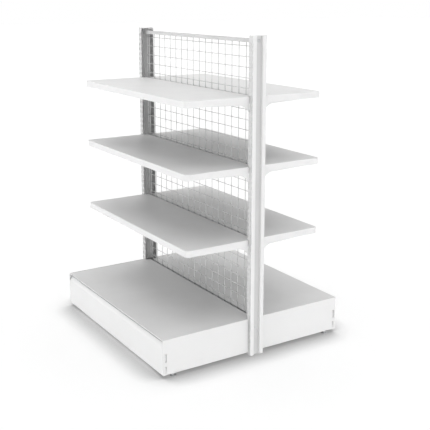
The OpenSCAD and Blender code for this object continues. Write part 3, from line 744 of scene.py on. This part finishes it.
def make_piece(name, mesh, body, material_name, stands_for=()):
    """Turns a bmesh into a smooth-shaded piece that rides on a body."""
    bmesh.ops.remove_doubles(mesh, verts=mesh.verts, dist=1e-7)
    bmesh.ops.recalc_face_normals(mesh, faces=mesh.faces)
    data = bpy.data.meshes.new(name)
    mesh.to_mesh(data)
    mesh.free()
    data.shade_smooth()
    data.set_sharp_from_angle(angle=SHARP_ANGLE)
    data.materials.append(material_named(material_name))
    piece = bpy.data.objects.new(name, data)
    bpy.context.scene.collection.objects.link(piece)
    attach(piece, body)
    if stands_for:
        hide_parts(*stands_for)
    return piece


def solid_boxes(node_name):
    """Boxes of the separate solids of a frame node, as (lowest, highest) corners."""
    mesh = bmesh.new()
    mesh.from_mesh(NODES[node_name].data)
    bmesh.ops.remove_doubles(mesh, verts=mesh.verts, dist=1e-6)
    waiting = set(mesh.verts)
    boxes = []
    while waiting:
        group = set()
        edge_of_group = [waiting.pop()]
        while edge_of_group:
            vertex = edge_of_group.pop()
            group.add(vertex)
            for edge in vertex.link_edges:
                other = edge.other_vert(vertex)
                if other in waiting:
                    waiting.discard(other)
                    edge_of_group.append(other)
        points = [vertex.co for vertex in group]
        low = Vector(min(point[axis] for point in points) for axis in range(3))
        high = Vector(max(point[axis] for point in points) for axis in range(3))
        boxes.append((low, high))
    mesh.free()
    return sorted(boxes, key=lambda box: tuple(round(value, 4) for value in box[0]))


def upright_at(low, high):
    """Matrix that stands a turned piece in the middle of a box's underside."""
    return Matrix.Translation(((low.x + high.x) / 2, (low.y + high.y) / 2, low.z))


def along_x_axis(low, high, x, side):
    """Matrix that lays a turned piece on the middle line of a box at x, with its Z axis along +X or -X."""
    place = Matrix.Translation((x, (low.y + high.y) / 2, (low.z + high.z) / 2))
    return place @ Matrix.Rotation(side * math.pi / 2, 4, "Y")


# Operators


class SHELVING_OT_stage(Operator):
    """Makes the camera, the graded sky and the pale floor"""

    bl_idname = "shelving.stage"
    bl_label = "Make the stage"

    def execute(self, context):
        stage = settings()[3]
        context.scene.view_settings.view_transform = "Standard"
        self.make_camera(context, stage)
        self.make_sky(context, stage)
        self.make_floor(context, stage)
        return {"FINISHED"}

    def make_camera(self, context, stage):
        data = bpy.data.cameras.new("Camera")
        data.sensor_width = 36.0
        data.lens = stage.camera_lens
        data.shift_y = stage.camera_shift
        camera = bpy.data.objects.new("Camera", data)
        camera.location = stage.camera_place
        camera.rotation_euler = (math.pi / 2 - stage.camera_drop, 0.0, stage.camera_azimuth)
        context.scene.collection.objects.link(camera)
        context.scene.camera = camera

    def make_sky(self, context, stage):
        """Graded white light from all round, and a white backdrop for the camera, for gloss and for glass.
        The shelves hold off the overhead part. The rim lights upright faces and hardly any level ones."""
        world = bpy.data.worlds.new("Sky")
        world.use_nodes = True
        tree = world.node_tree
        background = tree.nodes["Background"]
        background.inputs["Color"].default_value = (1.0, 1.0, 1.0, 1.0)
        direction = tree.nodes.new("ShaderNodeTexCoord").outputs["Generated"]
        height = parts_of(tree, direction)["Z"]
        overhead = ramp_node(tree, height, stage.overhead_from, 1.0, 0.0, stage.sky_overhead)
        rim = ramp_node(tree, height, stage.rim_to, 0.0, 0.0, stage.sky_rim)
        light = math_node(tree, "ADD", math_node(tree, "ADD", overhead, rim), stage.sky_all_round)
        light = product(tree, light, math_node(tree, "GREATER_THAN", height, 0.0))
        strength = add_node(tree, "ShaderNodeMapRange",
                            {"Value": seen_directly(tree), "To Min": light, "To Max": 1.0}).outputs["Result"]
        tree.links.new(strength, background.inputs["Strength"])
        context.scene.world = world

    def make_floor(self, context, stage):
        """Wide pale floor. For the camera it has a lighter colour, which keeps the shadow of the bay,
        darkened further by a painted shadow near the bay and lightened by painted light where it is deepest.
        """
        tree, shader = new_material("Floor", Metallic=0.0)
        cloud = noise_node(tree, 1.5)
        seen = seen_directly(tree)
        dull = mix_colours(tree, cloud, stage.floor_colour, shaded(stage.floor_colour, 0.985))
        light = mix_colours(tree, cloud, stage.floor_shown, shaded(stage.floor_shown, 0.985))
        openness = add_node(tree, "ShaderNodeAmbientOcclusion", {"Distance": stage.shadow_reach},
                            samples=16).outputs["AO"]
        # Painted shadow: the camera's floor colour darkens where ambient occlusion finds the bay close by
        light = mix_colours(tree, openness, (0.0, 0.0, 0.0), light)
        connect(tree, shader, mix_colours(tree, seen, dull, light),
                ramp_node(tree, cloud, 0.2, 0.8, 0.80, 0.90))
        open_limits = (0.45, 0.95)
        shaded_limits = (0.90, 0.05)
        # Painted light for the camera: the open floor is lifted to white, and the deepest shade beside the
        # bay is lightened
        lift = math_node(tree, "ADD", ramp_node(tree, openness, *open_limits, 0.0, stage.floor_lift),
                         ramp_node(tree, openness, *shaded_limits, 0.0, stage.gap_lift))
        lift = product(tree, seen, lift)
        shader.inputs["Emission Color"].default_value = (1.0, 1.0, 1.0, 1.0)
        tree.links.new(lift, shader.inputs["Emission Strength"])
        half = 40.0
        corners = [(x * half, y * half, 0) for x, y in ((-1, -1), (1, -1), (1, 1), (-1, 1))]
        data = bpy.data.meshes.new("Floor")
        data.from_pydata(corners, [], [(0, 1, 2, 3)])
        data.materials.append(bpy.data.materials["Floor"])
        floor = bpy.data.objects.new("Floor", data)
        context.scene.collection.objects.link(floor)


class SHELVING_OT_frame_finish(Operator):
    """Gives the uprights and brackets their white powder coat"""

    bl_idname = "shelving.frame_finish"
    bl_label = "Finish the frame"

    def execute(self, context):
        finish_nodes("Upright coat", "upright_left", "upright_right")
        finish_nodes("Frame coat", "bracket")
        return {"FINISHED"}


class SHELVING_OT_panel_finish(Operator):
    """Gives the shelves, base decks, kick plates and legs their white powder coat"""

    bl_idname = "shelving.panel_finish"
    bl_label = "Finish the panels"

    def execute(self, context):
        finish_nodes("Panel coat", "shelf", "base_deck", "kick_plate", "base_leg")
        return {"FINISHED"}


class SHELVING_OT_grid_finish(Operator):
    """Gives the wire grid and its two rails their light grey coat"""

    bl_idname = "shelving.grid_finish"
    bl_label = "Finish the grid and its rails"

    def execute(self, context):
        finish_nodes("Grid coat", "wire_grid", "top_rail", "bottom_rail")
        return {"FINISHED"}


class SHELVING_OT_stiffener_finish(Operator):
    """Gives the stiffeners their galvanised surface"""

    bl_idname = "shelving.stiffener_finish"
    bl_label = "Finish the stiffeners"

    def execute(self, context):
        finish_nodes("Galvanised sheet", "stiffener", "deck_stiffener")
        return {"FINISHED"}


class SHELVING_OT_cap_finish(Operator):
    """Gives the caps of the uprights their moulded plastic surface"""

    bl_idname = "shelving.cap_finish"
    bl_label = "Finish the caps"

    def execute(self, context):
        finish_nodes("Moulded plastic", "upright_cap")
        return {"FINISHED"}


class SHELVING_OT_spot_welds(Operator):
    """Adds the dents of the spot welds along the flanges of the stiffeners"""

    bl_idname = "shelving.spot_welds"
    bl_label = "Add the spot welds"

    def execute(self, context):
        bodies = {f"stiffener_{level}_{side}": f"shelf_{level}_{side}" for level in LEVELS for side in SIDES}
        bodies.update({f"deck_stiffener_{side}": f"base_deck_{side}" for side in SIDES})
        for node_name, body in bodies.items():
            self.weld_stiffener(node_name, body)
        return {"FINISHED"}

    def weld_stiffener(self, node_name, body):
        """Two rows of dents, one on the underside of each flange."""
        hardware = settings()[2]
        low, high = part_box(node_name)
        radius = hardware.weld_width / 2
        sheet = 0.0015 if node_name.startswith("deck") else 0.0012
        flange_middle = 0.007
        bare_ends = 0.04
        count = int((high.x - low.x - bare_ends) / hardware.weld_pitch)
        first = -(count * hardware.weld_pitch) / 2
        mesh = bmesh.new()
        profile = [ring(radius * share, height) for share, height in WELD_PROFILE]
        for y in (low.y + flange_middle, high.y - flange_middle):
            for index in range(count + 1):
                place = Vector((first + index * hardware.weld_pitch, y, high.z - sheet))
                add_turned(mesh, profile, WELD_STEPS, Matrix.Translation(place))
        make_piece(f"spot_welds_{node_name}", mesh, body, "Spot weld")


class SHELVING_OT_feet(Operator):
    """Models the levelling feet with a turned pad, a chamfered collar and a threaded shank"""

    bl_idname = "shelving.feet"
    bl_label = "Make the levelling feet"

    def execute(self, context):
        for name in nodes_named("foot_"):
            if name != "foot_nuts":
                self.make_foot(name)
        return {"FINISHED"}

    def make_foot(self, node_name):
        hardware = settings()[2]
        low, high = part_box(node_name)
        pad_radius = (high.x - low.x) / 2
        total = high.z - low.z
        collar_top = total - hardware.foot_shank
        pad = hardware.pad_height
        flats = hardware.collar_width
        shank = hardware.foot_width / 2

        def collar(angle):
            return hexagon_radius(flats, angle)

        def chamfer(angle):
            return collar_top - max(0.0, collar(angle) - flats / 2 * 0.96) * 0.6
        rings = [ring(pad_radius * wide, pad * high_up) for wide, high_up in PAD_PROFILE]
        rings += [ring(flats / 2 * 1.18, pad * 0.92), ring(flats / 2 * 1.16, pad * 0.98), ring(collar, pad),
                  ring(collar, chamfer), ring(flats / 2 * 0.96, collar_top), ring(shank * 0.84, collar_top)]
        rings += thread_rings(shank, hardware.foot_pitch, collar_top + 0.0002, total)
        mesh = bmesh.new()
        add_turned(mesh, rings, hardware.turn_steps, upright_at(low, high))
        make_piece(f"threaded_{node_name}", mesh, node_name, "Zinc plate", (node_name,))


class SHELVING_OT_foot_nuts(Operator):
    """Models the six nuts that the feet screw into"""

    bl_idname = "shelving.foot_nuts"
    bl_label = "Make the foot nuts"

    def execute(self, context):
        hardware = settings()[2]
        mesh = bmesh.new()
        for low, high in solid_boxes("foot_nuts"):
            rings = nut_rings(hardware.foot_nut_width, hardware.foot_nut_height, hardware.foot_width / 2,
                              hardware.foot_pitch)
            place = upright_at(low, high) @ Matrix.Rotation(math.pi / 6, 4, "Z")
            add_turned(mesh, rings, hardware.turn_steps, place, closed=True)
        make_piece("threaded_foot_nuts", mesh, "frame", "Zinc plate", ("foot_nuts",))
        return {"FINISHED"}


class SHELVING_OT_rail_fasteners(Operator):
    """Models the bolts that hold the rails, with their sockets and threads, and their nuts"""

    bl_idname = "shelving.rail_fasteners"
    bl_label = "Make the rail bolts and nuts"

    def execute(self, context):
        self.make_bolts()
        self.make_nuts()
        return {"FINISHED"}

    def make_bolts(self):
        hardware = settings()[2]
        shank = hardware.bolt_width / 2
        crown = hardware.bolt_width / 2
        mesh = bmesh.new()
        for low, high in solid_boxes("rail_bolts"):
            side = 1 if low.x > 0 else -1
            outer_x = high.x if side > 0 else low.x
            length = high.x - low.x - crown
            place = along_x_axis(low, high, outer_x - side * crown, side)
            rim = (high.z - low.z) / 2
            head = socket_head_rings(rim, crown, hardware.bolt_width * 0.62, crown * 0.6, shank * 0.86)
            thread = thread_rings(shank, hardware.bolt_pitch, 0.0, length)
            flipped = [ring(lambda angle, place=place_of: place(-angle)[0],
                            lambda angle, place=place_of: -place(-angle)[1]) for place_of in thread]
            add_turned(mesh, flipped[::-1] + head, hardware.turn_steps, place)
        make_piece("socket_rail_bolts", mesh, "frame", "Zinc plate", ("rail_bolts",))

    def make_nuts(self):
        hardware = settings()[2]
        mesh = bmesh.new()
        for low, high in solid_boxes("rail_nuts"):
            side = 1 if low.x > 0 else -1
            height = high.x - low.x
            inner_x = low.x if side > 0 else high.x
            flats = min(high.y - low.y, high.z - low.z)
            rings = nut_rings(flats, height, hardware.bolt_width / 2, hardware.bolt_pitch)
            add_turned(mesh, rings, hardware.turn_steps, along_x_axis(low, high, inner_x, side), closed=True)
        make_piece("threaded_rail_nuts", mesh, "frame", "Zinc plate", ("rail_nuts",))


OPERATORS = (
    SHELVING_OT_stage,
    SHELVING_OT_frame_finish,
    SHELVING_OT_panel_finish,
    SHELVING_OT_grid_finish,
    SHELVING_OT_stiffener_finish,
    SHELVING_OT_cap_finish,
    SHELVING_OT_spot_welds,
    SHELVING_OT_feet,
    SHELVING_OT_foot_nuts,
    SHELVING_OT_rail_fasteners,
)


class SHELVING_PT_sidebar(Panel):
    """Lists the operators and the settings of the bay"""

    bl_label = "Gondola shelving bay"
    bl_idname = "SHELVING_PT_sidebar"
    bl_space_type = "VIEW_3D"
    bl_region_type = "UI"
    bl_category = "Shelving"

    def draw(self, context):
        for operator in OPERATORS:
            self.layout.operator(operator.bl_idname)
        for group in settings():
            box = self.layout.box()
            for key in group.__annotations__:
                box.prop(group, key)


GROUPS = {
    "shelving_coat": ShelvingCoat,
    "shelving_metal": ShelvingMetal,
    "shelving_hardware": ShelvingHardware,
    "shelving_stage": ShelvingStage,
}


def register():
    for key, group in GROUPS.items():
        bpy.utils.register_class(group)
        setattr(bpy.types.Scene, key, PointerProperty(type=group))
    for item in (*OPERATORS, SHELVING_PT_sidebar):
        bpy.utils.register_class(item)


def unregister():
    for item in reversed((*OPERATORS, SHELVING_PT_sidebar)):
        bpy.utils.unregister_class(item)
    for key, group in GROUPS.items():
        delattr(bpy.types.Scene, key)
        bpy.utils.unregister_class(group)


def main():
    register()
    for operator in OPERATORS:
        space, action = operator.bl_idname.split(".")
        getattr(getattr(bpy.ops, space), action)()


if __name__ == "__main__":
    main()
